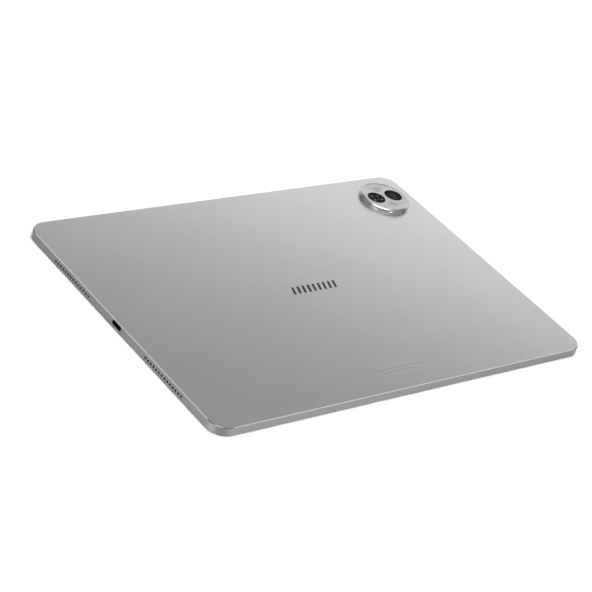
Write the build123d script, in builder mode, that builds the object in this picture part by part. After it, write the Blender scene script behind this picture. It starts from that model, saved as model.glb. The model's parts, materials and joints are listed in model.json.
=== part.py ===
from build123d import *
import os

# Tablet computer, 13-inch class. It lies with its screen down: the outer face of the
# cover glass is z = 0, the aluminium back is z = back_z and the camera island stands
# above it. X runs along the long sides, Y along the short ones, and the camera corner
# is +X +Y. All sizes are millimetres.

os.makedirs("parts", exist_ok=True)

# ---- driving dimensions ----
length = 293.88
width = 201.38
back_z = 5.79
corner_r = 11.0
edge_break = 0.35          # bright chamfer round the back
rim_z = 0.15               # front edge of the frame, just behind the glass face
rim_break = 0.2
half_l = length / 2
half_w = width / 2

glass_t = 0.55
glass_gap = 0.1
lip_w = 0.75               # frame rim beside the glass
seat_z = 0.65              # ledge that carries the glass
wall_t = 2.2
floor_z = 4.99             # inside face of the back

display_inset = 5.5        # edge of the display stack from the outside
support_z = (1.90, 2.08)
flex_z = (2.12, 2.24)
battery_z = (2.30, 4.80)
battery_y = 92.0
battery_x = ((-119.0, -17.0), (-13.0, 87.0))

board_x = (92.0, 122.0)
board_y = (-90.0, 60.0)
board_z = (3.4, 4.1)
board_screws = [(x, y) for x in (95.0, 119.0) for y in (-87.0, -15.0, 57.0)]
support_screws = [(x, y) for x in (-122.8, 89.5) for y in (-80.0, -25.0, 25.0, 80.0)]
boss_r = 1.5
boss_bore = 0.8            # depth of the screw bore in a boss
screw_r = 0.5
screw_hole_r = 0.6
screw_head_r = 1.2
screw_head_t = 0.2

port_z = 3.45
port_w = 9.17
port_h = 3.0
port_mouth = 0.9           # depth of the mouth in the wall
shell_w = 8.94
shell_h = 3.06
shell_l = 7.35
shell_t = 0.3
shell_back_t = 0.6
pocket_w = 9.3
pocket_h = 3.3
port_board_z = (3.2, 3.8)
port_board_screws = [(-126.0, y) for y in (-10.0, 10.0)]

hole_d = 1.6
hole_pitch = 2.75
holes_per_row = 14
hole_row_y = 47.9
hole_z = 2.7

key_z = 3.1
key_h = 1.9
key_gap = 0.1
key_proud = 0.35
key_travel = 0.25
flange_t = 0.5
power_y = 80.0
power_l = 14.0
volume_x = 98.0
volume_l = 24.0
volume_flange_gap = 0.4

island_x = 121.0
island_y = 74.8
island_foot_r = 17.7
island_top_z = 8.7
island_bore_r = 15.45
dish_r = 15.7
window_d = 12.6
window_pitch = 15.3
window_t = 0.5
window_top_z = 8.6
lens_x = (island_x - window_pitch / 2, island_x + window_pitch / 2)
focus_travel = 0.3

mic_x = 40.0
mic_hole_r = 0.4
mark_depth = 0.15
print_depth = 0.08


def finish(piece, name):
    """Label a finished piece and write its STEP file."""
    piece.part.label = name
    export_step(piece.part, f"parts/{name}.step")


def slab(x, y, z, r=0.0):
    """A flat plate between the limits x, y and z, with corner radius r in plan."""
    with BuildPart() as plate:
        with BuildSketch(Plane.XY.offset(z[0])):
            with Locations(((x[0] + x[1]) / 2, (y[0] + y[1]) / 2)):
                if r > 0:
                    RectangleRounded(x[1] - x[0], y[1] - y[0], r)
                else:
                    Rectangle(x[1] - x[0], y[1] - y[0])
        extrude(amount=z[1] - z[0])
    return plate


def inset_rect(inset, mode=Mode.ADD):
    """The outline of the tablet moved in by inset, drawn in the open sketch."""
    RectangleRounded(length - 2 * inset, width - 2 * inset, corner_r - inset, mode=mode)


left_wall = Plane(origin=(-half_l, 0, 0), x_dir=(0, 1, 0), z_dir=(1, 0, 0))
right_wall = Plane(origin=(half_l, 0, 0), x_dir=(0, 1, 0), z_dir=(1, 0, 0))
far_wall = Plane(origin=(0, half_w, 0), x_dir=(1, 0, 0), z_dir=(0, -1, 0))

# ---- marks on the back: a row of slanted bars, and rows of small dashes and shapes ----
bar_count = 9
bar_pitch = 4.1
bar_l = 7.6
bar_w = 1.7
bar_slant = 70.0           # degrees from the long side
dash_rows = ((-82.3, 30, 1.3), (-85.2, 20, 1.35))
dash_w = 0.9
dash_h = 0.75
symbol_y = -90.8
symbol_pitch = 6.4
symbol_size = 4.2
symbol_line = 0.4


def mark_outline():
    """The row of slanted bars, in the open sketch."""
    with GridLocations(bar_pitch, 1, bar_count, 1):
        SlotOverall(bar_l, bar_w, rotation=bar_slant)


def small_print():
    """Rows of dashes and four simple shapes, in the open sketch."""
    for y, count, pitch in dash_rows:
        with Locations((-0.5, y)):
            with GridLocations(pitch, 1, count, 1):
                Rectangle(dash_w, dash_h)
    inner = symbol_size - 2 * symbol_line
    with Locations((-1.5 * symbol_pitch, symbol_y), (0.5 * symbol_pitch, symbol_y)):
        Circle(symbol_size / 2)
        Circle(inner / 2, mode=Mode.SUBTRACT)
    with Locations((-0.5 * symbol_pitch, symbol_y), (1.5 * symbol_pitch, symbol_y)):
        RectangleRounded(symbol_size, symbol_size, 0.7)
        RectangleRounded(inner, inner, 0.4, mode=Mode.SUBTRACT)


# ---- housing ----
with BuildPart() as housing:
    with BuildSketch(Plane.XY.offset(rim_z)):
        inset_rect(0)
    extrude(amount=back_z - rim_z)
    chamfer(housing.faces().sort_by(Axis.Z)[-1].edges(), edge_break)
    chamfer(housing.faces().sort_by(Axis.Z)[0].edges(), rim_break)
    with BuildSketch(Plane.XY.offset(rim_z)):
        inset_rect(lip_w)
    extrude(amount=seat_z - rim_z, mode=Mode.SUBTRACT)
    with BuildSketch(Plane.XY.offset(seat_z)):
        inset_rect(wall_t)
    extrude(amount=floor_z - seat_z, mode=Mode.SUBTRACT)
    # bosses for the support frame, the main board and the port board
    for points, foot in ((support_screws, support_z[1]), (board_screws, board_z[1]),
                         (port_board_screws, port_board_z[1])):
        with BuildSketch(Plane.XY.offset(foot)):
            with Locations(*points):
                Circle(boss_r)
        extrude(amount=floor_z - foot + 0.1)
        with BuildSketch(Plane.XY.offset(foot)):
            with Locations(*points):
                Circle(screw_r)
        extrude(amount=boss_bore, mode=Mode.SUBTRACT)
    # charging port: mouth in the wall and a wider pocket behind it
    with BuildSketch(left_wall):
        with Locations((0, port_z)):
            SlotOverall(port_w, port_h)
    extrude(amount=wall_t + 0.1, mode=Mode.SUBTRACT)
    with BuildSketch(left_wall.offset(port_mouth)):
        with Locations((0, port_z)):
            SlotOverall(pocket_w, pocket_h)
    extrude(amount=shell_l + 0.2, mode=Mode.SUBTRACT)
    # speaker holes in both short walls
    for wall, depth in ((left_wall, wall_t + 0.1), (right_wall, -wall_t - 0.1)):
        with BuildSketch(wall):
            for side in (-1, 1):
                with Locations((side * hole_row_y, hole_z)):
                    with GridLocations(hole_pitch, 1, holes_per_row, 1):
                        Circle(hole_d / 2)
        extrude(amount=depth, mode=Mode.SUBTRACT)
    # key slots
    with BuildSketch(right_wall):
        with Locations((power_y, key_z)):
            SlotOverall(power_l + 2 * key_gap, key_h + 2 * key_gap)
    extrude(amount=-wall_t - 0.1, mode=Mode.SUBTRACT)
    with BuildSketch(far_wall):
        with Locations((volume_x, key_z)):
            SlotOverall(volume_l + 2 * key_gap, key_h + 2 * key_gap)
        with Locations((mic_x, key_z)):
            Circle(mic_hole_r)
    extrude(amount=wall_t + 0.1, mode=Mode.SUBTRACT)
    # opening under the camera island
    with BuildSketch(Plane.XY.offset(floor_z)):
        with Locations((island_x, island_y)):
            Circle(island_bore_r)
    extrude(amount=back_z - floor_z, mode=Mode.SUBTRACT)
    # shallow pockets for the marks
    with BuildSketch(Plane.XY.offset(back_z - mark_depth)):
        mark_outline()
    extrude(amount=mark_depth, mode=Mode.SUBTRACT)
    with BuildSketch(Plane.XY.offset(back_z - print_depth)):
        small_print()
    extrude(amount=print_depth, mode=Mode.SUBTRACT)
finish(housing, "housing")

with BuildPart() as back_mark:
    with BuildSketch(Plane.XY.offset(back_z - mark_depth)):
        mark_outline()
    extrude(amount=mark_depth)
finish(back_mark, "back_mark")

with BuildPart() as small_marks:
    with BuildSketch(Plane.XY.offset(back_z - print_depth)):
        small_print()
    extrude(amount=print_depth)
finish(small_marks, "small_marks")

# ---- display, from the glass inwards ----
with BuildPart() as cover_glass:
    with BuildSketch():
        inset_rect(lip_w + glass_gap)
    extrude(amount=glass_t)
    chamfer(cover_glass.faces().sort_by(Axis.Z)[0].edges(), 0.12)
finish(cover_glass, "cover_glass")

with BuildPart() as display_gasket:
    with BuildSketch(Plane.XY.offset(glass_t)):
        inset_rect(lip_w + 2 * glass_gap)
        inset_rect(wall_t, mode=Mode.SUBTRACT)
    extrude(amount=seat_z - glass_t)
finish(display_gasket, "display_gasket")

stack_l = length - 2 * display_inset
stack_w = width - 2 * display_inset
display_layers = {
    "optical_adhesive": (0.55, 0.65),
    "lcd_panel": (0.65, 1.05),
    "optical_film_stack": (1.05, 1.15),
    "light_guide_plate": (1.15, 1.45),
    "reflector_sheet": (1.45, 1.50),
    "backlight_tray": (1.50, 1.65),
}
led_bar_w = 1.6
led_count = 48
for name, (low, high) in display_layers.items():
    shorter = led_bar_w if name == "light_guide_plate" else 0.0
    with BuildPart() as layer:
        with BuildSketch(Plane.XY.offset(low)):
            with Locations((0, shorter / 2)):
                RectangleRounded(stack_l, stack_w - shorter, 2.0)
        extrude(amount=high - low)
    finish(layer, name)

led_y = -stack_w / 2 + led_bar_w / 2
with BuildPart() as led_strip:
    with BuildSketch(Plane.XY.offset(1.38)):
        with Locations((0, led_y)):
            Rectangle(stack_l - 12, led_bar_w - 0.2)
    extrude(amount=0.07)
    with BuildSketch(Plane.XY.offset(1.16)):
        with Locations((0, led_y)):
            with GridLocations(5.6, 1, led_count, 1):
                Rectangle(3.0, 0.8)
    extrude(amount=0.22)
finish(led_strip, "led_strip")

driver_y = -89.0
with BuildPart() as driver_board:
    with BuildSketch(Plane.XY.offset(1.65)):
        with Locations((60, driver_y)):
            RectangleRounded(110, 4.6, 0.6)
    extrude(amount=0.15)
    with BuildSketch(Plane.XY.offset(1.80)):
        with Locations((60, driver_y)):
            with GridLocations(26, 1, 4, 1):
                Rectangle(12, 2.0)
    extrude(amount=0.07)
finish(driver_board, "display_driver_board")

# flexible lead from the driver board down to the main board, as one bent strip
flex_t = 0.12
flex_path = [(-86.6, 1.66), (-80.0, 1.66), (-79.0, 3.10), (-76.0, 3.10)]
with BuildPart() as display_flex:
    with BuildSketch(Plane.YZ.offset(108.0)):
        with BuildLine():
            Polyline(*flex_path, *[(y - flex_t / 2, z + flex_t) for y, z in reversed(flex_path)],
                     close=True)
        make_face()
    extrude(amount=10.0)
finish(display_flex, "display_flex")

# ---- support frame behind the display ----
with BuildPart() as support_frame:
    with BuildSketch(Plane.XY.offset(support_z[0])):
        RectangleRounded(272, 188, 4)
        for low, high in ((-117.5, -20.0), (-11.0, 85.0), (94.5, 131.0)):
            with Locations(((low + high) / 2, 0)):
                RectangleRounded(high - low, 168, 3, mode=Mode.SUBTRACT)
        with Locations(*support_screws):
            Circle(screw_hole_r, mode=Mode.SUBTRACT)
    extrude(amount=support_z[1] - support_z[0])
finish(support_frame, "support_frame")

# ---- battery ----
for name, (low, high) in zip(("battery_cell_left", "battery_cell_right"), battery_x):
    with BuildPart() as cell:
        with BuildSketch(Plane.XY.offset(battery_z[0])):
            with Locations(((low + high) / 2, 0)):
                RectangleRounded(high - low, 2 * battery_y, 2.5)
        extrude(amount=battery_z[1] - battery_z[0])
        fillet(cell.faces().filter_by(Axis.Z).edges(), 0.6)
    finish(cell, name)

with BuildPart() as battery_adhesive:
    with BuildSketch(Plane.XY.offset(battery_z[1])):
        for low, high in battery_x:
            with Locations(((low + high) / 2, 0)):
                with GridLocations(24, 1, 4, 1):
                    RectangleRounded(10, 160, 2)
    extrude(amount=floor_z - battery_z[1])
finish(battery_adhesive, "battery_adhesive_strips")

with BuildPart() as protection_board:
    with BuildSketch(Plane.XY.offset(3.2)):
        with Locations((35, 94.6)):
            RectangleRounded(46, 2.6, 0.4)
    extrude(amount=0.6)
    with BuildSketch(Plane.XY.offset(2.5)):
        with Locations((35, 94.6)):
            with GridLocations(9, 1, 4, 1):
                Rectangle(4.5, 1.8)
    extrude(amount=0.7)
finish(protection_board, "battery_protection_board")

# ---- main board and what is on it ----
chip_x = 107.0
with BuildPart() as mainboard:
    with BuildSketch(Plane.XY.offset(board_z[0])):
        with Locations((chip_x, sum(board_y) / 2)):
            RectangleRounded(board_x[1] - board_x[0], board_y[1] - board_y[0], 1.5)
        with Locations((board_x[0], 22)):
            Rectangle(8, 18, mode=Mode.SUBTRACT)
        with Locations(*board_screws):
            Circle(screw_hole_r, mode=Mode.SUBTRACT)
    extrude(amount=board_z[1] - board_z[0])
finish(mainboard, "mainboard")

cans = ((-72.5, -22.0), (-8.0, 50.0))
can_x = (97.0, 120.0)
can_low = 2.3
can_t = 0.2
with BuildPart() as shield_cans:
    for low, high in cans:
        with BuildSketch(Plane.XY.offset(can_low)):
            with Locations((sum(can_x) / 2, (low + high) / 2)):
                RectangleRounded(can_x[1] - can_x[0], high - low, 1.2)
        extrude(amount=board_z[0] - can_low)
        with BuildSketch(Plane.XY.offset(can_low + can_t)):
            with Locations((sum(can_x) / 2, (low + high) / 2)):
                RectangleRounded(can_x[1] - can_x[0] - 2 * can_t, high - low - 2 * can_t, 1.0)
        extrude(amount=board_z[0] - can_low - can_t, mode=Mode.SUBTRACT)
finish(shield_cans, "shield_cans")

with BuildPart() as board_chips:
    with BuildSketch(Plane.XY.offset(board_z[0] - 0.8)):
        for low, high in cans:
            with Locations((sum(can_x) / 2, (low + high) / 2)):
                with GridLocations(10, 11, 2, 4):
                    RectangleRounded(6.5, 7.5, 0.2)
    extrude(amount=0.8)
finish(board_chips, "board_chips")

with BuildPart() as processor:
    with BuildSketch(Plane.XY.offset(board_z[1])):
        with Locations((chip_x, 4)):
            RectangleRounded(14, 14, 0.3)
    extrude(amount=0.7)
finish(processor, "processor")

with BuildPart() as memory_chips:
    with BuildSketch(Plane.XY.offset(board_z[1])):
        with Locations((chip_x, -22), (chip_x, 24)):
            RectangleRounded(11.5, 13, 0.3)
    extrude(amount=0.7)
finish(memory_chips, "memory_chips")

thermal_pad = slab((chip_x - 6, chip_x + 6), (-2, 10), (4.8, 4.93))
finish(thermal_pad, "thermal_pad")
graphite_sheet = slab((97, 117), (-84, 54), (4.93, floor_z), 1.0)
finish(graphite_sheet, "graphite_sheet")

# ---- charging port and its small board ----
seal_t = 0.5
shell_start = port_mouth + seal_t
with BuildPart() as port_shell:
    with BuildSketch(left_wall.offset(shell_start)):
        with Locations((0, port_z)):
            SlotOverall(shell_w, shell_h)
            SlotOverall(shell_w - 2 * shell_t, shell_h - 2 * shell_t, mode=Mode.SUBTRACT)
    extrude(amount=shell_l)
    with BuildSketch(left_wall.offset(shell_start + shell_l - shell_back_t)):
        with Locations((0, port_z)):
            SlotOverall(shell_w, shell_h)
    extrude(amount=shell_back_t)
finish(port_shell, "port_shell")

tongue_w = 6.69
tongue_t = 0.7
tongue_inset = 0.7         # from the mouth of the shell
contact_t = 0.04
with BuildPart() as port_tongue:
    with BuildSketch(left_wall.offset(shell_start + tongue_inset)):
        with Locations((0, port_z)):
            RectangleRounded(tongue_w, tongue_t, 0.15)
    extrude(amount=shell_l - shell_back_t - tongue_inset)
finish(port_tongue, "port_tongue")

with BuildPart() as port_contacts:
    for side in (-1, 1):
        contact_low = port_z + side * (tongue_t + contact_t) / 2 - contact_t / 2
        with BuildSketch(Plane.XY.offset(contact_low)):
            with Locations((-half_l + shell_start + 3.2, 0)):
                with GridLocations(1, 0.5, 1, 12):
                    Rectangle(3.6, 0.25)
        extrude(amount=contact_t)
finish(port_contacts, "port_contacts")

with BuildPart() as port_seal:
    with BuildSketch(left_wall.offset(port_mouth)):
        with Locations((0, port_z)):
            SlotOverall(pocket_w, pocket_h)
            SlotOverall(port_w, port_h, mode=Mode.SUBTRACT)
    extrude(amount=seal_t)
finish(port_seal, "port_seal")

board_slot_w = shell_w + 0.3
with BuildPart() as port_board:
    with BuildSketch(Plane.XY.offset(port_board_z[0])):
        with Locations((-131.0, 0)):
            RectangleRounded(21, 28, 1)
        with Locations((-140.0, 0)):
            Rectangle(8.0, board_slot_w, mode=Mode.SUBTRACT)
        with Locations(*port_board_screws):
            Circle(screw_hole_r, mode=Mode.SUBTRACT)
    extrude(amount=port_board_z[1] - port_board_z[0])
    with BuildSketch(Plane.XY.offset(port_board_z[0] - 0.9)):
        with Locations((-129.0, 0)):
            with GridLocations(7, 5, 2, 2):
                Rectangle(3, 3)
    extrude(amount=0.9)
finish(port_board, "port_board")

with BuildPart() as main_flex:
    with BuildSketch(Plane.XY.offset(flex_z[0])):
        with Locations((-16.0, 0)):
            RectangleRounded(218.0, 14.0, 1.0)
    extrude(amount=flex_z[1] - flex_z[0])
finish(main_flex, "main_flex")

# ---- speakers: a box, a driver and a dust mesh behind each row of holes ----
speaker_l = 38.0
speaker_d = 15.5
speaker_z = (2.2, 4.9)
speaker_wall = 0.5
mesh_t = 0.2
inner_wall_x = half_l - wall_t
for end, end_name in ((-1, "port_end"), (1, "camera_end")):
    for side, side_name in ((-1, "near"), (1, "far")):
        front = end * (inner_wall_x - mesh_t)
        middle = front - end * speaker_d / 2
        with BuildPart() as speaker_box:
            with BuildSketch(Plane.XY.offset(speaker_z[0])):
                with Locations((middle, side * hole_row_y)):
                    RectangleRounded(speaker_d, speaker_l, 1.0)
            extrude(amount=speaker_z[1] - speaker_z[0])
            with BuildSketch(Plane.XY.offset(speaker_z[0] + speaker_wall)):
                with Locations((middle, side * hole_row_y)):
                    Rectangle(speaker_d - 2, speaker_l - 2)
            extrude(amount=speaker_z[1] - speaker_z[0] - 2 * speaker_wall, mode=Mode.SUBTRACT)
            with BuildSketch(Plane.XY.offset(speaker_z[0] + speaker_wall)):
                with Locations((front, side * hole_row_y)):
                    Rectangle(4, speaker_l - 4)
            extrude(amount=1.0, mode=Mode.SUBTRACT)
        finish(speaker_box, f"speaker_box_{end_name}_{side_name}")

with BuildPart() as speaker_drivers:
    for end in (-1, 1):
        for side in (-1, 1):
            x = end * (inner_wall_x - mesh_t - speaker_d / 2 - 1)
            with BuildSketch(Plane.XY.offset(speaker_z[1] - speaker_wall - 1.0)):
                with Locations((x, side * hole_row_y)):
                    RectangleRounded(9, 24, 3)
            extrude(amount=1.0)
finish(speaker_drivers, "speaker_drivers")

with BuildPart() as grille_meshes:
    for end in (-1, 1):
        for side in (-1, 1):
            with BuildSketch(Plane.XY.offset(1.95)):
                with Locations((end * (inner_wall_x - mesh_t / 2), side * hole_row_y)):
                    Rectangle(mesh_t, speaker_l)
            extrude(amount=1.5)
finish(grille_meshes, "grille_meshes")

# ---- power key on the short camera-end wall ----
flange_l = power_l + 2.6
power_flange_depth = wall_t + 0.08
with BuildPart() as power_key:
    with BuildSketch(right_wall.offset(key_proud)):
        with Locations((power_y, key_z)):
            SlotOverall(power_l, key_h)
    extrude(amount=-(key_proud + power_flange_depth))
    fillet(power_key.faces().sort_by(Axis.X)[-1].edges(), 0.25)
    with BuildSketch(right_wall.offset(-power_flange_depth)):
        with Locations((power_y, key_z)):
            Rectangle(flange_l, key_h)
    extrude(amount=-flange_t)
    with BuildSketch(right_wall.offset(-power_flange_depth - flange_t)):
        with Locations((power_y, key_z)):
            Circle(0.7)
    extrude(amount=-0.4)
finish(power_key, "power_key")

power_switch_x = half_l - power_flange_depth - flange_t - 0.4 - key_travel - 0.03
with BuildPart() as power_switch:
    with BuildSketch(Plane.YZ.offset(power_switch_x)):
        with Locations((power_y, key_z)):
            Circle(0.8)
    extrude(amount=-0.3)
    with BuildSketch(Plane.YZ.offset(power_switch_x - 0.3)):
        with Locations((power_y, key_z)):
            RectangleRounded(3.2, 1.8, 0.3)
    extrude(amount=-0.5)
finish(power_switch, "power_switch")

bracket_t = 0.4
power_bracket_x = power_switch_x - 0.8
power_bracket = slab((power_bracket_x - bracket_t, power_bracket_x),
                     (power_y - 6, power_y + 6), (2.2, floor_z))
finish(power_bracket, "power_key_bracket")

# ---- volume rocker on the far long wall ----
volume_flange_l = volume_l + 2.6
volume_flange_depth = wall_t + volume_flange_gap
with BuildPart() as volume_rocker:
    with BuildSketch(far_wall.offset(-key_proud)):
        with Locations((volume_x, key_z)):
            SlotOverall(volume_l, key_h)
    extrude(amount=key_proud + volume_flange_depth)
    fillet(volume_rocker.faces().sort_by(Axis.Y)[-1].edges(), 0.25)
    with BuildSketch(far_wall.offset(volume_flange_depth)):
        with Locations((volume_x, key_z)):
            Rectangle(volume_flange_l, key_h)
    extrude(amount=flange_t)
    with BuildSketch(far_wall.offset(volume_flange_depth + flange_t)):
        with Locations((volume_x - 7, key_z), (volume_x + 7, key_z)):
            Circle(0.7)
    extrude(amount=0.3)
finish(volume_rocker, "volume_rocker")

volume_switch_y = half_w - volume_flange_depth - flange_t - 0.3 - 0.2
with BuildPart() as volume_switches:
    with BuildSketch(Plane.XZ.offset(-volume_switch_y)):
        with Locations((volume_x - 7, key_z), (volume_x + 7, key_z)):
            Circle(0.8)
    extrude(amount=0.3)
    with BuildSketch(Plane.XZ.offset(-volume_switch_y + 0.3)):
        with Locations((volume_x - 7, key_z), (volume_x + 7, key_z)):
            RectangleRounded(3.2, 1.8, 0.3)
    extrude(amount=0.5)
finish(volume_switches, "volume_switches")

volume_bracket_y = volume_switch_y - 0.8
volume_bracket = slab((volume_x - 11, volume_x + 11),
                      (volume_bracket_y - bracket_t, volume_bracket_y), (2.2, 4.2))
finish(volume_bracket, "volume_key_bracket")

# ---- camera island ----
island = Plane(origin=(island_x, island_y, 0), x_dir=(1, 0, 0), z_dir=(0, -1, 0))
lip_r = 16.25
shoulder = (17.25, 7.5)     # radius and height where the wall rolls over to the lip
neck = (17.3, 6.35)
ring_bore_r = 14.4
ring_low_z = 4.95
lip_z = island_top_z - 0.1
dish_low_z = 6.5
ring_profile = [(ring_bore_r, ring_low_z), (island_bore_r, ring_low_z), (island_bore_r, back_z),
                (island_foot_r, back_z), (island_foot_r, 6.15), (17.3, 6.25), neck]
with BuildPart() as island_ring:
    with BuildSketch(island):
        with BuildLine():
            Polyline(*ring_profile)
            ThreePointArc(neck, (17.42, 6.95), shoulder)
            ThreePointArc(shoulder, (16.93, 8.2), (lip_r, lip_z))
            Polyline((lip_r, lip_z), (lip_r - 0.12, island_top_z), (dish_r + 0.2, island_top_z),
                     (dish_r, island_top_z - 0.2), (dish_r, dish_low_z),
                     (ring_bore_r, dish_low_z), (ring_bore_r, ring_low_z))
        make_face()
    revolve(axis=Axis((island_x, island_y, 0), (0, 0, 1)))
finish(island_ring, "island_ring")

valley_z = 7.25
window_low_z = window_top_z - window_t
view_d = 10.0
collar_w = 1.0
with BuildPart() as island_dish:
    with BuildSketch(island):
        with BuildLine():
            Polyline((0, dish_low_z), (dish_r, dish_low_z), (dish_r, island_top_z - 0.3),
                     (13.0, valley_z + 0.3), (10.0, valley_z), (0, valley_z), (0, dish_low_z))
        make_face()
    revolve(axis=Axis((island_x, island_y, 0), (0, 0, 1)))
    with BuildSketch(Plane.XY.offset(valley_z - 0.3)):
        with Locations(*[(x, island_y) for x in lens_x]):
            Circle(window_d / 2 + collar_w)
    extrude(amount=window_top_z - valley_z + 0.3)
    with BuildSketch(Plane.XY.offset(window_low_z)):
        with Locations(*[(x, island_y) for x in lens_x]):
            Circle(window_d / 2)
    extrude(amount=window_t, mode=Mode.SUBTRACT)
    with BuildSketch(Plane.XY.offset(dish_low_z)):
        with Locations(*[(x, island_y) for x in lens_x]):
            Circle(view_d / 2)
    extrude(amount=window_low_z - dish_low_z, mode=Mode.SUBTRACT)
finish(island_dish, "island_dish")

for name, x in zip(("sensor_window", "camera_window"), lens_x):
    with BuildPart() as window:
        with BuildSketch(Plane.XY.offset(window_low_z)):
            with Locations((x, island_y)):
                Circle(window_d / 2)
        extrude(amount=window_t)
    finish(window, name)

barrel_r = 3.9
barrel_z = (3.3, 7.6)
with BuildPart() as camera_module:
    with BuildSketch(Plane.XY.offset(2.3)):
        with Locations((lens_x[1], island_y)):
            RectangleRounded(11.5, 11.5, 0.8)
    extrude(amount=4.1)
    with BuildSketch(Plane.XY.offset(barrel_z[0] - 0.4)):
        with Locations((lens_x[1], island_y)):
            Circle(barrel_r + 0.08)
    extrude(amount=4.4, mode=Mode.SUBTRACT)
finish(camera_module, "camera_module")

with BuildPart() as lens_carriage:
    with BuildSketch(Plane.XY.offset(barrel_z[0])):
        with Locations((lens_x[1], island_y)):
            Circle(barrel_r)
            Circle(1.6, mode=Mode.SUBTRACT)
    extrude(amount=barrel_z[1] - barrel_z[0])
    with BuildSketch(Plane.XY.offset(barrel_z[1] - 0.8)):
        with Locations((lens_x[1], island_y)):
            Circle(3.0)
    extrude(amount=0.8, mode=Mode.SUBTRACT)
    with BuildSketch(Plane.XY.offset(barrel_z[0] + 0.8)):
        with Locations((lens_x[1], island_y)):
            Circle(1.6)
    extrude(amount=1.0)
finish(lens_carriage, "lens_carriage")

with BuildPart() as second_module:
    with BuildSketch(Plane.XY.offset(2.3)):
        with Locations((lens_x[0], island_y)):
            RectangleRounded(10.5, 10.5, 0.8)
    extrude(amount=4.1)
    with BuildSketch(Plane.XY.offset(6.4)):
        with Locations((lens_x[0], island_y)):
            Circle(2.4)
    extrude(amount=1.5)
finish(second_module, "second_camera_module")

flash_led = slab((lens_x[0] + 2.7, lens_x[0] + 4.1), (island_y - 0.7, island_y + 0.7),
                 (6.4, 7.6), 0.3)
finish(flash_led, "flash_led")

camera_flex = slab((110.0, 118.0), (52.0, 69.0), (2.9, 3.02))
finish(camera_flex, "camera_flex")

# ---- small parts along the far edge ----
edge_y = half_w - 3.8
front_x = 0.0
with BuildPart() as front_camera:
    with BuildSketch(Plane.XY.offset(seat_z)):
        with Locations((front_x, edge_y)):
            Circle(1.2)
    extrude(amount=1.0)
    with BuildSketch(Plane.XY.offset(seat_z + 1.0)):
        with Locations((front_x, edge_y)):
            Rectangle(5.0, 2.8)
    extrude(amount=1.9)
finish(front_camera, "front_camera")

light_sensor = slab((9.0, 11.2), (edge_y - 0.8, edge_y + 0.8), (seat_z, seat_z + 0.8))
finish(light_sensor, "light_sensor")

with BuildPart() as microphones:
    for x in (mic_x, -mic_x):
        with BuildSketch(Plane.XY.offset(2.5)):
            with Locations((x, half_w - wall_t - 0.6)):
                Rectangle(3.5, 1.2)
        extrude(amount=1.2)
finish(microphones, "microphones")

coil_x = -62.0
with BuildPart() as stylus_coil:
    with BuildSketch(Plane.XZ.offset(-(half_w - wall_t - 0.1))):
        with Locations((coil_x, key_z)):
            SlotOverall(22, 2.2)
            SlotOverall(20.6, 0.8, mode=Mode.SUBTRACT)
    extrude(amount=1.2)
finish(stylus_coil, "stylus_coil")

magnet_y = half_w - wall_t - 1.1
with BuildPart() as magnets:
    with BuildSketch(Plane.XY.offset(2.2)):
        for x in (-100.0, -82.0, -24.0, 66.0):
            with Locations((x, magnet_y)):
                Rectangle(14.0, 1.8)
        for x in (-100.0, -60.0, 60.0, 100.0):
            with Locations((x, -magnet_y)):
                Rectangle(22.0, 1.8)
    extrude(amount=2.2)
finish(magnets, "magnets")

with BuildPart() as antennas:
    with BuildSketch(Plane.XY.offset(0.75)):
        for y in (-1, 1):
            with Locations((-half_l + 4.0, y * 79.0)):
                RectangleRounded(2.2, 26.0, 0.6)
    extrude(amount=0.15)
finish(antennas, "antennas")

# ---- screws: a flat head with a cross recess and a shank ----
head_points = ((support_screws, support_z[0], 0.7), (board_screws, board_z[0], 1.2),
               (port_board_screws, port_board_z[0], 1.0))
with BuildPart() as screws:
    for points, seat, shank in head_points:
        with BuildSketch(Plane.XY.offset(seat - screw_head_t)):
            with Locations(*points):
                Circle(screw_head_r)
                Rectangle(1.4, 0.3, mode=Mode.SUBTRACT)
                Rectangle(0.3, 1.4, mode=Mode.SUBTRACT)
        extrude(amount=screw_head_t / 2)
        with BuildSketch(Plane.XY.offset(seat - screw_head_t / 2)):
            with Locations(*points):
                Circle(screw_head_r)
        extrude(amount=screw_head_t / 2)
        with BuildSketch(Plane.XY.offset(seat)):
            with Locations(*points):
                Circle(screw_r)
        extrude(amount=shank)
finish(screws, "screws")
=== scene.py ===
"""Looks of a flat tablet computer that lies screen down, laid out as an add-on."""
import json
import math

import bmesh
import bpy
from bpy.props import FloatProperty, FloatVectorProperty, IntProperty, PointerProperty
from mathutils import Matrix, Vector
from mathutils.geometry import delaunay_2d_cdt


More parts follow.
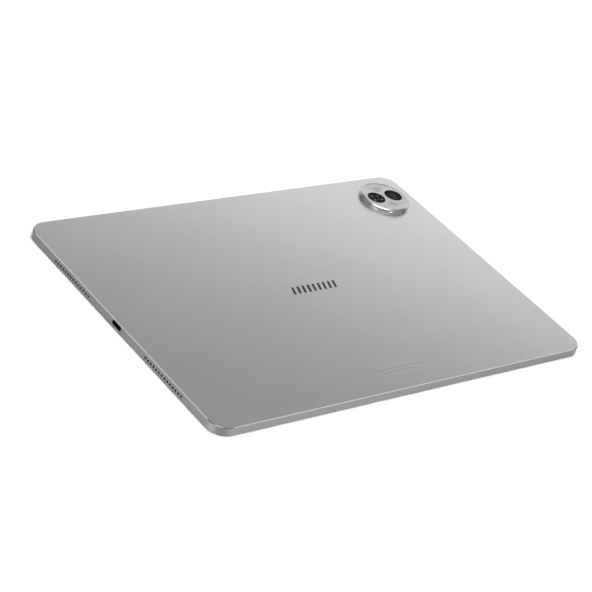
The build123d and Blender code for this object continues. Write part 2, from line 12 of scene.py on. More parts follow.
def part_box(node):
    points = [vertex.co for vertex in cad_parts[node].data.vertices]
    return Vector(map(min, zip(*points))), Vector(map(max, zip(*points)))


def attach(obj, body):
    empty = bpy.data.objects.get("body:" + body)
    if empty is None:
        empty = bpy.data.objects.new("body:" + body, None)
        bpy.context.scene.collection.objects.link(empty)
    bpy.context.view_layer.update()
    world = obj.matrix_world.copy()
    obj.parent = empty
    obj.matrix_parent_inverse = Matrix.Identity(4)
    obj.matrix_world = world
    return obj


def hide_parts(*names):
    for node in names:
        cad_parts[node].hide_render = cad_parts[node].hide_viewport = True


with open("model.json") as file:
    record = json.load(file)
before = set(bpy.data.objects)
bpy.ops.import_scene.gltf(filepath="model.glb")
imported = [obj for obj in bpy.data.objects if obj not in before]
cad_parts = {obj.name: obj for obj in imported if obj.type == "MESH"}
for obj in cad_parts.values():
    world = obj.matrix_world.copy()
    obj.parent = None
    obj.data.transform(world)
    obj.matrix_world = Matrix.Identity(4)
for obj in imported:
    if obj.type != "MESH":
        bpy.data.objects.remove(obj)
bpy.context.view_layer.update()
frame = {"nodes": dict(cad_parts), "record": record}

bl_info = {
    "name": "Tablet Computer",
    "version": (1, 0, 0),
    "blender": (4, 5, 0),
    "location": "View3D > Sidebar > Tablet",
    "description": "Finishes and fine pieces of a tablet computer around its packed frame",
    "category": "Object",
}

MM = 0.001
CHASSIS = "chassis"


def span(node):
    """Lowest corner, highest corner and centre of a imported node."""
    low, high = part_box(node)
    return low, high, (low + high) / 2


BACK_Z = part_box("housing")[1].z
RING_LOW, RING_HIGH, RING_MID = span("island_ring")
CAMERA_MID = span("camera_window")[2]
SENSOR_MID = span("sensor_window")[2]
WINDOW_R = (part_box("camera_window")[1].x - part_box("camera_window")[0].x) / 2
DISH_R = (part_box("island_dish")[1].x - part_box("island_dish")[0].x) / 2

# Lens windows: the glass lies a little below the ring's top, and the optics below the glass.
GLASS_DROP = 0.16 * MM
GLASS_T = 0.30 * MM
CAMERA_HOLE_R = 4.1 * MM
SENSOR_HOLE_R = 2.6 * MM
BARREL_STEPS = 4
BARREL_STEP_DEPTH = 0.05 * MM
FRONT_LENS_SHARE = 0.46          # front lens radius against the hole's
FRONT_LENS_RISE = 0.22 * MM
# Painted highlights: the small round parts below are coloured pale to stand in for reflections.
# Small round parts beside the sensor's lens: x and y from its centre, and radius, in mm.
HIGHLIGHT_SPOTS = ((-1.95, 2.97, 0.50), (2.66, 2.08, 0.42), (-2.48, -1.87, 0.42),
                (3.01, -2.31, 0.55))

# Stage: place and size of each area light, in metres.
OVERHEAD = ((-0.05, -0.1, 2.1), (1.8, 1.8))
LOW_STRIP = ((0.45, 0.43, 0.22), (1.2, 0.26))
FRONT_CARD = ((-0.80, -0.70, 0.95), (0.9, 0.6))
SIDE_CARD_NEAR = ((0.64, -0.52, 0.58), (0.6, 0.6))
SIDE_CARD_FAR = ((-0.50, 0.56, 0.64), (0.6, 0.6))
GLINT_SIZE = (0.10, 0.25)
GLINT_DISTANCE = 0.85
GLINT_HEIGHT = 0.05
CAMERA_RIGHT = (0.757279, -0.587362, 0.285542)
CAMERA_DOWN = (-0.136373, -0.569792, -0.810395)


# ---------------------------------------------------------------- properties

def length_property(name, default, description):
    """A distance in metres."""
    return FloatProperty(name=name, default=default, min=0.0, unit="LENGTH", precision=5,
                         description=description)


def colour_property(name, default, description):
    """A plain colour."""
    return FloatVectorProperty(name=name, default=default, size=3, min=0.0, max=1.0,
                               subtype="COLOR", description=description)


def amount_property(name, default, description, high=1.0):
    """A share or another plain number."""
    return FloatProperty(name=name, default=default, min=0.0, max=high, description=description)


class ShellLook(bpy.types.PropertyGroup):
    """Anodised shell, its keys and its marks."""
    colour: colour_property("Shell", (0.56, 0.562, 0.566), "Anodised aluminium")
    # Painted shade: the side walls take a darker copy of the shell's aluminium.
    side_shade: colour_property("Sides", (0.155, 0.156, 0.158), "Aluminium on the side walls")
    edge_colour: colour_property("Cut edge", (0.86, 0.86, 0.87), "Bright chamfer round the back")
    roughness: amount_property("Roughness", 0.36, "How soft reflections in the shell are")
    grain: length_property("Grain", 0.00022, "Size of the blasted grain")
    # Painted shade: a near-black colour inside the holes and slots, where shade falls.
    bore_shade: colour_property("Bores", (0.012, 0.012, 0.012), "Inside of the holes and slots")
    mark_colour: colour_property("Mark", (0.016, 0.016, 0.017), "Inlaid mark")
    print_colour: colour_property("Print", (0.33, 0.33, 0.335), "Faint small marks")


class IslandLook(bpy.types.PropertyGroup):
    """Raised camera island."""
    rim_colour: colour_property("Rim", (0.54, 0.54, 0.55), "Polished ring")
    dish_colour: colour_property("Dish", (0.58, 0.582, 0.585), "Satin dish")
    collar_width: length_property("Collar width", 0.0009, "Flat collar beside each window")
    flank_width: length_property("Flank width", 0.0042, "Slope from a collar to the valley")
    neck_inset: length_property("Neck inset", 0.0004, "From the foot's edge in to the wall")
    shoulder_drop: length_property("Shoulder drop", 0.0012, "From the top down to the wall's end")
    shoulder_width: length_property("Shoulder width", 0.00105, "From the wall in to the lip")
    valley_depth: length_property("Valley depth", 0.0010, "Drop from the collars to the valley")
    rim_drop: length_property("Rim drop", 0.00012, "Drop from the ring to the dish's edge")
    mesh_pitch: length_property("Mesh pitch", 0.00042, "Spacing of the dish's mesh")
    steps: IntProperty(name="Steps", default=256, min=32, description="Steps round a full turn")


class GlassLook(bpy.types.PropertyGroup):
    """Cover glass and lens glass."""
    screen_colour: colour_property("Screen", (0.010, 0.010, 0.012), "Panel behind the glass")
    border_colour: colour_property("Border", (0.003, 0.003, 0.003), "Printed border")
    border_width: length_property("Border width", 0.0068, "Printed border round the panel")
    ink_colour: colour_property("Ink", (0.004, 0.004, 0.005), "Ink behind the lens glass")
    coating_colour: colour_property("Coating", (0.010, 0.010, 0.016), "Coated front lens")


class StageLook(bpy.types.PropertyGroup):
    """Floor, lights and camera."""
    floor_colour: colour_property("Floor", (0.96, 0.96, 0.96), "Plain floor")
    floor_size: length_property("Floor size", 12.0, "Side of the floor")
    key_power: amount_property("Key", 48.0, "Power of the overhead light", 5000.0)
    strip_power: amount_property("Strip", 1.33, "Power of the low light behind", 5000.0)
    front_power: amount_property("Front", 1.0, "Power of the light on the camera's side", 5000.0)
    card_power: amount_property("Cards", 0.75, "Power of each light at the side", 5000.0)
    glint_power: amount_property("Glints", 45.0, "Power of each narrow light on the shell", 5000.0)
    glint_turns: FloatVectorProperty(name="Glint turns", size=2, subtype="EULER", unit="ROTATION",
                                     default=(math.radians(188.5), math.radians(278.5)),
                                     description="Directions of the narrow lights")
    fill: amount_property("Fill", 0.03, "Strength of the even fill", 10.0)
    focal_length: FloatProperty(name="Lens", default=118.56, min=10.0, unit="CAMERA",
                                description="Focal length in millimetres")
    camera_place: FloatVectorProperty(name="Camera", default=(-0.768292, -0.679655, 0.606357),
                                      size=3, subtype="TRANSLATION",
                                      description="Where the camera stands")


def look(group):
    """One of the property groups of this scene."""
    return getattr(bpy.context.scene, group)


# ---------------------------------------------------------------- materials

class Finish:
    """A principled material and short ways to wire its detail."""

    def __init__(self, name, **sockets):
        self.material = bpy.data.materials.new(name)
        self.material.use_nodes = True
        self.tree = self.material.node_tree
        self.shader = self.tree.nodes["Principled BSDF"]
        for socket, value in sockets.items():
            self.shader.inputs[socket.replace("_", " ")].default_value = value
        self.place = self.tree.nodes.new("ShaderNodeTexCoord")

    def node(self, kind, **settings):
        """A new node with settings on it."""
        made = self.tree.nodes.new(kind)
        for key, value in settings.items():
            setattr(made, key, value)
        return made

    def link(self, output, target):
        self.tree.links.new(output, target)

    def noise(self, size, detail=2.0, stretch=(1, 1, 1)):
        """Noise with features of the given size in metres."""
        mapping = self.node("ShaderNodeMapping")
        mapping.inputs["Scale"].default_value = stretch
        self.link(self.place.outputs["Object"], mapping.inputs["Vector"])
        noise = self.node("ShaderNodeTexNoise")
        noise.inputs["Scale"].default_value = 1.0 / size
        noise.inputs["Detail"].default_value = detail
        self.link(mapping.outputs["Vector"], noise.inputs["Vector"])
        return noise.outputs["Fac"]

    def spread(self, value, low, high, start=0.3, end=0.7):
        """Maps a texture value from start-end to low-high."""
        spread = self.node("ShaderNodeMapRange")
        limits = {"From Min": start, "From Max": end, "To Min": low, "To Max": high}
        for key, number in limits.items():
            spread.inputs[key].default_value = number
        self.link(value, spread.inputs["Value"])
        return spread.outputs["Result"]

    def blend(self, factor, first, second):
        """Mixes two colours, each a colour or an output, by a factor output."""
        mix = self.node("ShaderNodeMix", data_type="RGBA")
        self.link(factor, mix.inputs["Factor"])
        for socket, colour in (("A", first), ("B", second)):
            target = [s for s in mix.inputs if s.name == socket and s.type == "RGBA"][0]
            if isinstance(colour, bpy.types.NodeSocket):
                self.link(colour, target)
            else:
                target.default_value = (*colour, 1.0)
        return [s for s in mix.outputs if s.type == "RGBA"][0]

    def bump(self, height, strength, distance):
        """Feeds a height into the shader's normal."""
        bump = self.node("ShaderNodeBump")
        bump.inputs["Strength"].default_value = strength
        bump.inputs["Distance"].default_value = distance
        self.link(height, bump.inputs["Height"])
        self.link(bump.outputs["Normal"], self.shader.inputs["Normal"])

    def colour(self, output):
        self.link(output, self.shader.inputs["Base Color"])

    def rough(self, output):
        self.link(output, self.shader.inputs["Roughness"])

    def axis(self, output, name):
        """One axis of a vector output."""
        split = self.node("ShaderNodeSeparateXYZ")
        self.link(output, split.inputs["Vector"])
        return split.outputs[name]

    def math(self, operation, *values):
        """A maths node on outputs and numbers."""
        made = self.node("ShaderNodeMath", operation=operation)
        for socket, value in zip(made.inputs, values):
            if isinstance(value, bpy.types.NodeSocket):
                self.link(value, socket)
            else:
                socket.default_value = value
        return made.outputs["Value"]


def scaled(colour, factor):
    """The colour made darker or lighter."""
    return tuple(min(1.0, channel * factor) for channel in colour)


def grained(name, colour, grain, roughness, metallic, change=0.06, bump=0.15, depth=0.00002,
            **sockets):
    """A finish with fine grain in its colour, gloss and surface."""
    finish = Finish(name, Metallic=metallic, **sockets)
    fine = finish.noise(grain, 3.0)
    broad = finish.noise(grain * 60, 2.0)
    finish.colour(finish.blend(finish.spread(broad, 0.0, 1.0), scaled(colour, 1 - change),
                               scaled(colour, 1 + change)))
    finish.rough(finish.spread(fine, roughness * 0.86, roughness * 1.14))
    finish.bump(fine, bump, depth)
    return finish


def paint(node, finish):
    """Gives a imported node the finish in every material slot."""
    data = frame["nodes"][node].data
    data.materials.clear()
    data.materials.append(finish.material)


def new_piece(name, mesh, finish, replaces=()):
    """Adds a smooth mesh piece that rides on the chassis."""
    piece = bpy.data.objects.new(name, mesh)
    bpy.context.scene.collection.objects.link(piece)
    for polygon in mesh.polygons:
        polygon.use_smooth = True
    mesh.materials.clear()
    mesh.materials.append(finish.material)
    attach(piece, CHASSIS)
    if replaces:
        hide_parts(*replaces)


# ---------------------------------------------------------------- mesh helpers

def lathe(name, profile, centre, steps, sharp_angle=28.0):
    """Turns a closed or open profile of (radius, z) round a vertical axis at centre."""
    mesh = bpy.data.meshes.new(name)
    points = []
    faces = []
    for step in range(steps):
        angle = 2 * math.pi * step / steps
        for radius, z in profile:
            points.append((centre.x + radius * math.cos(angle),
                           centre.y + radius * math.sin(angle), z))
    count = len(profile)
    for step in range(steps):
        here = step * count
        there = (step + 1) % steps * count
        for index in range(count - 1):
            faces.append((here + index, there + index, there + index + 1, here + index + 1))
    mesh.from_pydata(points, [], faces)
    tidy = bmesh.new()
    tidy.from_mesh(mesh)
    bmesh.ops.remove_doubles(tidy, verts=tidy.verts, dist=1e-7)
    bmesh.ops.recalc_face_normals(tidy, faces=tidy.faces)
    for edge in tidy.edges:
        if len(edge.link_faces) == 2:
            edge.smooth = edge.calc_face_angle(0.0) < math.radians(sharp_angle)
    tidy.to_mesh(mesh)
    tidy.free()
    return mesh


def arc(centre, radius, start, end, steps):
    """Points of an arc in the profile plane, angles in degrees."""
    return [(centre[0] + radius * math.cos(math.radians(a)),
             centre[1] + radius * math.sin(math.radians(a)))
            for a in (start + (end - start) * i / steps for i in range(steps + 1))]


def curve(start, pull, end, steps):
    """Points from start to end in the profile plane, bent towards pull."""
    return [tuple((1 - t) ** 2 * a + 2 * t * (1 - t) * b + t * t * c
                  for a, b, c in zip(start, pull, end))
            for t in (i / steps for i in range(steps + 1))]


def smooth_step(value):
    """A soft change from 0 to 1."""
    value = max(0.0, min(1.0, value))
    return value * value * (3 - 2 * value)


# ---------------------------------------------------------------- operators

class TABLET_OT_finish_shell(bpy.types.Operator):
    """Give the housing and its keys their blasted, anodised finish"""
    bl_idname = "tablet.finish_shell"
    bl_label = "Finish shell"

    def execute(self, context):
        shell = look("tablet_shell")
        finish = Finish("anodised_aluminium", Metallic=1.0)
        fine = finish.noise(shell.grain, 3.0)
        broad = finish.noise(0.045, 2.0)
        height = finish.axis(finish.place.outputs["Normal"], "Z")
        flat_back = finish.spread(height, 0.0, 1.0, 0.80, 0.97)
        edge = finish.math("SUBTRACT", finish.spread(height, 0.0, 1.0, 0.25, 0.55), flat_back)
        back = finish.blend(finish.spread(broad, 0.0, 1.0), scaled(shell.colour, 0.985),
                            scaled(shell.colour, 1.015))
        # Painted shade: where the normal turns away from up, the side walls get the darker side
        # shade.
        base = finish.blend(flat_back, shell.side_shade, back)
        outside = finish.blend(edge, base, shell.edge_colour)
        # Painted shade: the bores of the holes take the near-black colour.
        finish.colour(finish.blend(self.hole_shade_mask(finish), outside, shell.bore_shade))
        satin = finish.spread(fine, shell.roughness * 0.9, shell.roughness * 1.1)
        finish.rough(finish.math("SUBTRACT", satin, finish.math("MULTIPLY", edge, 0.18)))
        finish.bump(fine, 0.12, 0.00001)
        for node in ("housing", "power_key", "volume_rocker"):
            paint(node, finish)
        return {"FINISHED"}

    def hole_shade_mask(self, finish):
        """How far a point lies inside the walls' holes, from 0 on the outside to 1."""
        # This masks the painted shade in the holes' bores.
        low, high, _ = span("housing")
        place = finish.place.outputs["Object"]
        inside = corner = None
        for name, half in (("X", high.x), ("Y", high.y)):
            away = finish.math("ABSOLUTE", finish.axis(place, name))
            deep = finish.spread(away, 1.0, 0.0, half - 0.08 * MM, half - 0.02 * MM)
            turn = finish.spread(away, 0.0, 1.0, half - 11.5 * MM, half - 11.0 * MM)
            inside = deep if inside is None else finish.math("MULTIPLY", inside, deep)
            corner = turn if corner is None else finish.math("MULTIPLY", corner, turn)
        inside = finish.math("MULTIPLY", inside, finish.math("SUBTRACT", 1.0, corner))
        rise = finish.axis(place, "Z")
        under_back = finish.spread(rise, 1.0, 0.0, high.z - 0.6 * MM, high.z - 0.5 * MM)
        over_rim = finish.spread(rise, 0.0, 1.0, low.z + 0.7 * MM, low.z + 0.8 * MM)
        return finish.math("MULTIPLY", inside, finish.math("MULTIPLY", under_back, over_rim))


class TABLET_OT_finish_marks(bpy.types.Operator):
    """Give the inlaid mark and the small marks their greys"""
    bl_idname = "tablet.finish_marks"
    bl_label = "Finish marks"

    def execute(self, context):
        shell = look("tablet_shell")
        inlay = grained("mark_inlay", shell.mark_colour, 0.00015, 0.4, 0.0, 0.08, 0.05, IOR=1.25)
        small = grained("small_print", shell.print_colour, 0.00012, 0.55, 0.3, 0.10, 0.10)
        paint("back_mark", inlay)
        paint("small_marks", small)
        return {"FINISHED"}


class TABLET_OT_build_island(bpy.types.Operator):
    """Turn the polished ring and sculpt the dish of the camera island"""
    bl_idname = "tablet.build_island"
    bl_label = "Build camera island"

    def execute(self, context):
        island = look("tablet_island")
        self.ring(island)
        self.dish(island)
        return {"FINISHED"}

    def ring(self, island):
        """Ring with a foot, a slightly bowed wall, a rounded lip and a flat top."""
        foot = BACK_Z
        top = RING_HIGH.z
        outer = (RING_HIGH.x - RING_LOW.x) / 2
        inner = DISH_R
        neck = outer - island.neck_inset
        wall_top = top - island.shoulder_drop
        lip = neck - island.shoulder_width
        profile = [(inner, foot - 0.1 * MM), (outer, foot - 0.02 * MM)]
        profile += arc((outer - 0.12 * MM, foot + 0.24 * MM), 0.12 * MM, 0, 90, 6)
        profile += [(neck + 0.04 * MM, foot + 0.40 * MM), (neck, foot + 0.46 * MM)]
        rise = wall_top - foot - 0.56 * MM
        profile += [(neck + 0.10 * MM * math.sin(math.pi * t), foot + 0.56 * MM + rise * t)
                    for t in (i / 18 for i in range(19))]
        profile += curve((neck, wall_top), (neck - 0.12 * MM, top - 0.40 * MM),
                         (lip, top - 0.10 * MM), 14)[1:]
        profile += [(lip - 0.05 * MM, top - 0.03 * MM), (lip - 0.12 * MM, top),
                    (inner + 0.20 * MM, top), (inner + 0.06 * MM, top - 0.05 * MM),
                    (inner, top - 0.20 * MM), (inner, top - 1.6 * MM)]
        mesh = lathe("island_ring_turned", profile, RING_MID, island.steps)
        finish = Finish("polished_edge", Metallic=1.0)
        fine = finish.noise(0.0004, 2.0, (1, 1, 8))
        finish.colour(finish.blend(finish.spread(fine, 0.0, 1.0), scaled(island.rim_colour, 0.97),
                                   scaled(island.rim_colour, 1.03)))
        finish.rough(finish.spread(fine, 0.28, 0.31))
        finish.bump(fine, 0.02, 0.000002)
        new_piece("island_ring_turned", mesh, finish, replaces=("island_ring",))

    def dish(self, island):
        """Smooth dish with a valley that runs between the two windows' collars."""
        top = RING_HIGH.z - 0.10 * MM
        lenses = (CAMERA_MID, SENSOR_MID)
        hole = WINDOW_R + 0.02 * MM
        edge = DISH_R - 0.01 * MM

        def height(x, y):
            """Height of the dish: low in the valley, full height beside each window."""
            from_axis = math.hypot(x - RING_MID.x, y - RING_MID.y)
            low = top - island.valley_depth
            rise = smooth_step((from_axis - 0.25 * edge) / (0.72 * edge))
            bowl = low + (top - island.rim_drop - low) * rise
            keep = 1.0
            for lens in lenses:
                away = math.hypot(x - lens.x, y - lens.y) - hole - island.collar_width
                keep *= smooth_step(away / island.flank_width)
            return bowl * keep + top * (1 - keep)

        points, edges = [], []

        def loop(centre, radius, count):
            """Adds a round outline that the mesh keeps."""
            start = len(points)
            for i in range(count):
                angle = 2 * math.pi * i / count
                points.append((centre.x + radius * math.cos(angle),
                               centre.y + radius * math.sin(angle)))
            edges.extend((start + i, start + (i + 1) % count) for i in range(count))

        loop(RING_MID, edge, island.steps)
        for lens in lenses:
            loop(lens, hole, island.steps // 2)
        for offset in (0.10, 0.25, 0.5):
            for lens in lenses:
                loop(lens, hole + offset * MM, island.steps // 2)
        pitch = island.mesh_pitch
        rows = int(edge / pitch * 1.2) + 1
        for row in range(-rows, rows + 1):
            for column in range(-rows, rows + 1):
                x = RING_MID.x + (column + 0.5 * (row % 2)) * pitch
                y = RING_MID.y + row * pitch * math.sqrt(3) / 2
                inside = math.hypot(x - RING_MID.x, y - RING_MID.y) < edge - 0.4 * pitch
                clear = all(math.hypot(x - lens.x, y - lens.y) > hole + 0.5 * MM + 0.4 * pitch
                            for lens in lenses)
                if inside and clear:
                    points.append((x, y))
        flat = delaunay_2d_cdt([Vector(p) for p in points], edges, [], 0, 1e-9)
        mesh = bpy.data.meshes.new("island_dish_sculpted")
        verts = [(p.x, p.y, height(p.x, p.y)) for p in flat[0]]
        faces = []
        for face in flat[2]:
            middle = sum((flat[0][i] for i in face), Vector((0, 0))) / len(face)
            if all(math.hypot(middle.x - lens.x, middle.y - lens.y) > hole for lens in lenses):
                faces.append(tuple(face))
        mesh.from_pydata(verts, [], faces)
        shape = bmesh.new()
        shape.from_mesh(mesh)
        for vert in [v for v in shape.verts if not v.link_faces]:
            shape.verts.remove(vert)
        bmesh.ops.recalc_face_normals(shape, faces=shape.faces)
        if sum(face.normal.z for face in shape.faces) < 0:
            bmesh.ops.reverse_faces(shape, faces=shape.faces)
        rim = [e for e in shape.edges if len(e.link_faces) == 1]
        wall = bmesh.ops.extrude_edge_only(shape, edges=rim)["geom"]
        for vert in (v for v in wall if isinstance(v, bmesh.types.BMVert)):
            vert.co.z = RING_HIGH.z - 2.3 * MM
        for seam in shape.edges:
            if len(seam.link_faces) == 2:
                seam.smooth = seam.calc_face_angle(0.0) < math.radians(40)
        shape.to_mesh(mesh)
        shape.free()
        finish = grained("satin_dish", island.dish_colour, 0.00018, 0.48, 1.0, 0.015, 0.08,
                         0.000008)
        # Painted shade: the dish's colour darkens to half towards the valley floor, where shade
        # falls.
        depth = finish.axis(finish.place.outputs["Object"], "Z")
        depth = finish.spread(depth, 1.0, 0.0, top - island.valley_depth, top - 0.2 * MM)
        finish.colour(finish.blend(depth, island.dish_colour, scaled(island.dish_colour, 0.5)))
        new_piece("island_dish_sculpted", mesh, finish, replaces=("island_dish",))


class TABLET_OT_build_windows(bpy.types.Operator):
    """Build the two lens windows with what shows behind their glass"""
    bl_idname = "tablet.build_windows"
    bl_label = "Build lens windows"

    def execute(self, context):
        glass_look = look("tablet_glass")
        steps = look("tablet_island").steps // 2
        top = RING_HIGH.z - GLASS_DROP
        under = top - GLASS_T
        glass = Finish("lens_glass", Base_Color=(0.62, 0.63, 0.66, 1), IOR=1.05,
                       Transmission_Weight=1.0)
        smear = glass.noise(0.004, 2.0)
        glass.rough(glass.spread(smear, 0.01, 0.035))
        ink = grained("lens_ink", glass_look.ink_colour, 0.0001, 0.5, 0.0, 0.2, 0.05, 0.000003,
                      IOR=1.08)
        barrel = grained("lens_barrel", (0.032, 0.032, 0.038), 0.0001, 0.42, 0.0, 0.2, 0.1,
                         0.000003, IOR=1.2)
        coated = Finish("coated_lens", IOR=1.2, Coat_Weight=0.1, Coat_Roughness=0.04, Coat_IOR=1.3)
        tint = glass_look.coating_colour
        # Painted sheen: the coating's tint grows lighter where the surface turns away from the
        # view.
        painted_sheen = coated.node("ShaderNodeLayerWeight")
        coated.colour(coated.blend(painted_sheen.outputs["Facing"], tint, scaled(tint, 2.2)))
        coated.rough(coated.spread(coated.noise(0.002), 0.03, 0.07))
        for name, mid, hole in (("camera", CAMERA_MID, CAMERA_HOLE_R),
                                ("sensor", SENSOR_MID, SENSOR_HOLE_R)):
            r = WINDOW_R
            disc = [(0, under + 0.02 * MM), (r - 0.01 * MM, under + 0.02 * MM),
                    (r, top - 0.08 * MM), (r - 0.08 * MM, top), (0, top)]
            new_piece(f"{name}_glass", lathe(f"{name}_glass", disc, mid, steps), glass,
                      replaces=(f"{name}_window",))
            mask = [(hole, under - 0.02 * MM), (r - 0.02 * MM, under - 0.02 * MM),
                    (r - 0.02 * MM, under), (hole, under), (hole, under - 0.02 * MM)]
            new_piece(f"{name}_mask", lathe(f"{name}_mask", mask, mid, steps), ink)
            self.barrel(name, mid, hole, under, steps, barrel, coated)
        self.painted_highlights(under)
        return {"FINISHED"}

    def barrel(self, name, mid, hole, under, steps, finish, coated):
        """Stepped barrel that narrows down to a domed front lens."""
        profile = [(hole + 0.05 * MM, under - 0.03 * MM), (hole - 0.05 * MM, under - 0.05 * MM)]
        lens_r = hole * FRONT_LENS_SHARE
        for i in range(BARREL_STEPS):
            radius = hole - (hole - lens_r) * (i + 1) / BARREL_STEPS
            depth = under - 0.06 * MM - BARREL_STEP_DEPTH * (i + 1)
            before = profile[-1][0]
            profile += [(before - 0.06 * MM, depth), (radius, depth + 0.02 * MM)]
        new_piece(f"{name}_barrel", lathe(f"{name}_barrel", profile, mid, steps, 20), finish)
        foot = profile[-1][1] - 0.05 * MM
        dome = [(lens_r * math.cos(math.radians(a)),
                 foot + FRONT_LENS_RISE * math.sin(math.radians(a))) for a in range(0, 91, 9)]
        new_piece(f"{name}_front_lens", lathe(f"{name}_front_lens", dome, mid, steps), coated)

    def painted_highlights(self, under):
        """Small round parts round the sensor window's lens, pale as painted highlights."""
        # Painted highlight: the discs' pale bluish colour stands in for reflections on the lens
        # glass.
        bright = Finish("highlight_paint", Base_Color=(0.72, 0.76, 0.9, 1), Roughness=0.3)
        bright.bump(bright.noise(0.0004), 0.3, 0.00004)
        for index, (x, y, radius) in enumerate(HIGHLIGHT_SPOTS):
            centre = SENSOR_MID + Vector((x, y, 0)) * MM
            r = radius * MM
            profile = [(0, under + 0.012 * MM), (r * 0.8, under + 0.01 * MM),
                       (r, under + 0.004 * MM), (r, under - 0.02 * MM)]
            name = f"highlight_disc_{index + 1}"
            new_piece(name, lathe(name, profile, centre, 32), bright)


class TABLET_OT_finish_screen(bpy.types.Operator):
    """Give the cover glass its black border and dark panel"""
    bl_idname = "tablet.finish_screen"
    bl_label = "Finish screen"

    def execute(self, context):
        glass = look("tablet_glass")
        low, high, _ = span("cover_glass")
        finish = Finish("screen_glass", IOR=1.5, Coat_Weight=1.0, Coat_Roughness=0.01)
        place = finish.place.outputs["Object"]
        inside = None
        for name, half in (("X", (high.x - low.x) / 2), ("Y", (high.y - low.y) / 2)):
            away = finish.math("ABSOLUTE", finish.axis(place, name))
            limit = half - glass.border_width
            within = finish.spread(away, 1.0, 0.0, limit, limit + 0.0003)
            inside = within if inside is None else finish.math("MULTIPLY", inside, within)
        mottled = finish.spread(finish.noise(0.03), 0.0, 1.0)
        panel = finish.blend(mottled, scaled(glass.screen_colour, 0.9),
                             scaled(glass.screen_colour, 1.1))
        finish.colour(finish.blend(inside, glass.border_colour, panel))
        finish.rough(finish.spread(finish.noise(0.012, 4.0), 0.03, 0.09))
        paint("cover_glass", finish)
        return {"FINISHED"}


class TABLET_OT_finish_port(bpy.types.Operator):
    """Finish the charging port and the meshes behind the speaker holes"""
    bl_idname = "tablet.finish_port"
    bl_label = "Finish port and grilles"

    def execute(self, context):
        steel = grained("port_steel", (0.30, 0.30, 0.31), 0.0002, 0.32, 1.0, 0.05, 0.1, 0.000006)
        plastic = grained("tongue_plastic", (0.05, 0.05, 0.052), 0.00012, 0.45, 0.0, 0.1, 0.15,
                          0.000008)
        gold = grained("contact_gold", (0.80, 0.55, 0.26), 0.0001, 0.25, 1.0, 0.05, 0.05,
                       0.000003)
        seal = grained("seal_rubber", (0.02, 0.02, 0.02), 0.0002, 0.7, 0.0, 0.1, 0.2, 0.00001)
        paint("port_shell", steel)
        paint("port_tongue", plastic)
        paint("port_contacts", gold)
        paint("port_seal", seal)
        mesh = Finish("dust_mesh", Metallic=0.7)
        weave = mesh.node("ShaderNodeTexVoronoi")
        weave.inputs["Scale"].default_value = 1 / 0.00016
        mesh.link(mesh.place.outputs["Object"], weave.inputs["Vector"])
        holes = mesh.spread(weave.outputs["Distance"], 0.0, 1.0, 0.25, 0.5)
        mesh.colour(mesh.blend(holes, (0.004, 0.004, 0.004), (0.05, 0.05, 0.052)))
        mesh.rough(mesh.spread(weave.outputs["Distance"], 0.4, 0.7))
        mesh.bump(weave.outputs["Distance"], 0.4, 0.00004)
        paint("grille_meshes", mesh)
        return {"FINISHED"}


class TABLET_OT_finish_inside(bpy.types.Operator):
    """Finish every piece inside the housing"""
    bl_idname = "tablet.finish_inside"
    bl_label = "Finish inner pieces"

    def execute(self, context):
        # Material slot: colour, grain in metres, roughness, metallic share.
        table = {
            "clear_film": ((0.85, 0.86, 0.88), 0.004, 0.2, 0.0),
            "panel_glass": ((0.03, 0.03, 0.035), 0.003, 0.1, 0.0),
            "tray_steel": ((0.55, 0.55, 0.56), 0.0004, 0.35, 1.0),
            "white_film": ((0.85, 0.85, 0.85), 0.002, 0.5, 0.0),
            "circuit_board": ((0.012, 0.075, 0.045), 0.0012, 0.4, 0.0),
            "chip_black": ((0.022, 0.022, 0.023), 0.0003, 0.5, 0.0),
            "flex_amber": ((0.30, 0.13, 0.03), 0.0015, 0.35, 0.0),
            "battery_foil": ((0.09, 0.09, 0.10), 0.0025, 0.38, 0.5),
            "adhesive": ((0.03, 0.03, 0.03), 0.0006, 0.75, 0.0),
            "copper": ((0.72, 0.38, 0.20), 0.0003, 0.3, 1.0),
            "graphite": ((0.07, 0.07, 0.075), 0.001, 0.45, 0.4),
            "black_plastic": ((0.025, 0.025, 0.027), 0.0004, 0.5, 0.0),
            "magnet_nickel": ((0.62, 0.61, 0.58), 0.0005, 0.2, 1.0),
        }
        finished = ("port_tongue", "port_seal", "grille_meshes")
        made = {}
        for entry in frame["record"]["subparts"]:
            node, slot = entry["node"], entry["material_slot"]
            if slot not in table or node in finished:
                continue
            if slot not in made:
                made[slot] = grained(slot, *table[slot])
            paint(node, made[slot])
        return {"FINISHED"}


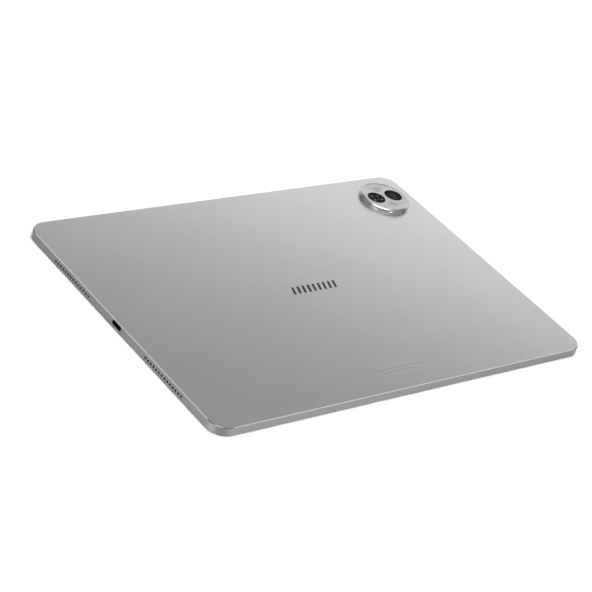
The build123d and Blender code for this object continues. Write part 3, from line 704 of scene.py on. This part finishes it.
class TABLET_OT_build_stage(bpy.types.Operator):
    """Lay the floor, hang the lights and set up the camera"""
    bl_idname = "tablet.build_stage"
    bl_label = "Build stage"

    def execute(self, context):
        stage = look("tablet_stage")
        self.floor(stage)
        centre = Vector((0, 0, BACK_Z / 2))
        self.light("overhead", stage.key_power, *OVERHEAD, centre, "ELLIPSE")
        self.light("low_strip", stage.strip_power, *LOW_STRIP, centre)
        self.light("front_card", stage.front_power, *FRONT_CARD, centre)
        self.light("side_card_near", stage.card_power, *SIDE_CARD_NEAR, centre)
        self.light("side_card_far", stage.card_power, *SIDE_CARD_FAR, centre)
        for index, turn in enumerate(stage.glint_turns):
            spot = (GLINT_DISTANCE * math.cos(turn), GLINT_DISTANCE * math.sin(turn), GLINT_HEIGHT)
            self.light(f"corner_glint_{index + 1}", stage.glint_power, spot, GLINT_SIZE, centre,
                       only=("housing",))
        context.scene.view_settings.view_transform = "Standard"
        world = bpy.data.worlds.new("even_fill")
        world.use_nodes = True
        background = world.node_tree.nodes["Background"]
        background.inputs["Color"].default_value = (1, 1, 1, 1)
        background.inputs["Strength"].default_value = stage.fill
        context.scene.world = world
        self.camera(context, stage)
        return {"FINISHED"}

    def floor(self, stage):
        """A plain pale floor just under the cover glass."""
        half = stage.floor_size / 2
        mesh = bpy.data.meshes.new("floor")
        mesh.from_pydata([(-half, -half, 0), (half, -half, 0), (half, half, 0), (-half, half, 0)],
                         [], [(0, 1, 2, 3)])
        floor = bpy.data.objects.new("floor", mesh)
        floor.location.z = -0.02 * MM
        bpy.context.scene.collection.objects.link(floor)
        finish = Finish("floor_paint", Roughness=0.9)
        finish.colour(finish.blend(finish.spread(finish.noise(0.4), 0.0, 1.0),
                                   scaled(stage.floor_colour, 0.99), stage.floor_colour))
        mesh.materials.append(finish.material)

    def light(self, name, power, place, size, target, shape="RECTANGLE", only=()):
        """An area light that faces target and lights everything, or only some nodes."""
        data = bpy.data.lights.new(name, "AREA")
        data.shape = shape
        data.size, data.size_y = size
        data.energy = power
        lamp = bpy.data.objects.new(name, data)
        lamp.location = place
        lamp.visible_camera = False
        if only:
            lamp.light_linking.receiver_collection = bpy.data.collections.new(name)
            for node in only:
                lamp.light_linking.receiver_collection.objects.link(frame["nodes"][node])
        lamp.rotation_euler = (target - Vector(place)).to_track_quat("-Z", "Y").to_euler()
        bpy.context.scene.collection.objects.link(lamp)

    def camera(self, context, stage):
        """The camera, turned by its right and down directions."""
        data = bpy.data.cameras.new("camera")
        data.lens = stage.focal_length
        data.sensor_width = 36.0
        data.clip_start = 0.01
        camera = bpy.data.objects.new("camera", data)
        right, down = Vector(CAMERA_RIGHT), Vector(CAMERA_DOWN)
        turn = Matrix((right, -down, -right.cross(down))).transposed().to_4x4()
        camera.matrix_world = Matrix.Translation(stage.camera_place) @ turn
        context.scene.collection.objects.link(camera)
        context.scene.camera = camera


class TABLET_PT_panel(bpy.types.Panel):
    """Lists what builds the tablet"""
    bl_idname = "TABLET_PT_panel"
    bl_label = "Tablet computer"
    bl_space_type = "VIEW_3D"
    bl_region_type = "UI"
    bl_category = "Tablet"

    def draw(self, context):
        for operator in OPERATORS:
            self.layout.operator(operator.bl_idname)
        for group in GROUPS:
            box = self.layout.box()
            for name in GROUPS[group].__annotations__:
                box.prop(look(group), name)


GROUPS = {"tablet_shell": ShellLook, "tablet_island": IslandLook, "tablet_glass": GlassLook,
          "tablet_stage": StageLook}
OPERATORS = (TABLET_OT_build_stage, TABLET_OT_finish_shell, TABLET_OT_finish_marks,
             TABLET_OT_build_island, TABLET_OT_build_windows, TABLET_OT_finish_screen,
             TABLET_OT_finish_port, TABLET_OT_finish_inside)


def register():
    for cls in (*GROUPS.values(), *OPERATORS, TABLET_PT_panel):
        bpy.utils.register_class(cls)
    for name, cls in GROUPS.items():
        setattr(bpy.types.Scene, name, PointerProperty(type=cls))


def unregister():
    for name in GROUPS:
        delattr(bpy.types.Scene, name)
    for cls in reversed((*GROUPS.values(), *OPERATORS, TABLET_PT_panel)):
        bpy.utils.unregister_class(cls)


def main():
    """Builds everything."""
    register()
    for operator in OPERATORS:
        group, name = operator.bl_idname.split(".")
        getattr(getattr(bpy.ops, group), name)()


if __name__ == "__main__":
    main()
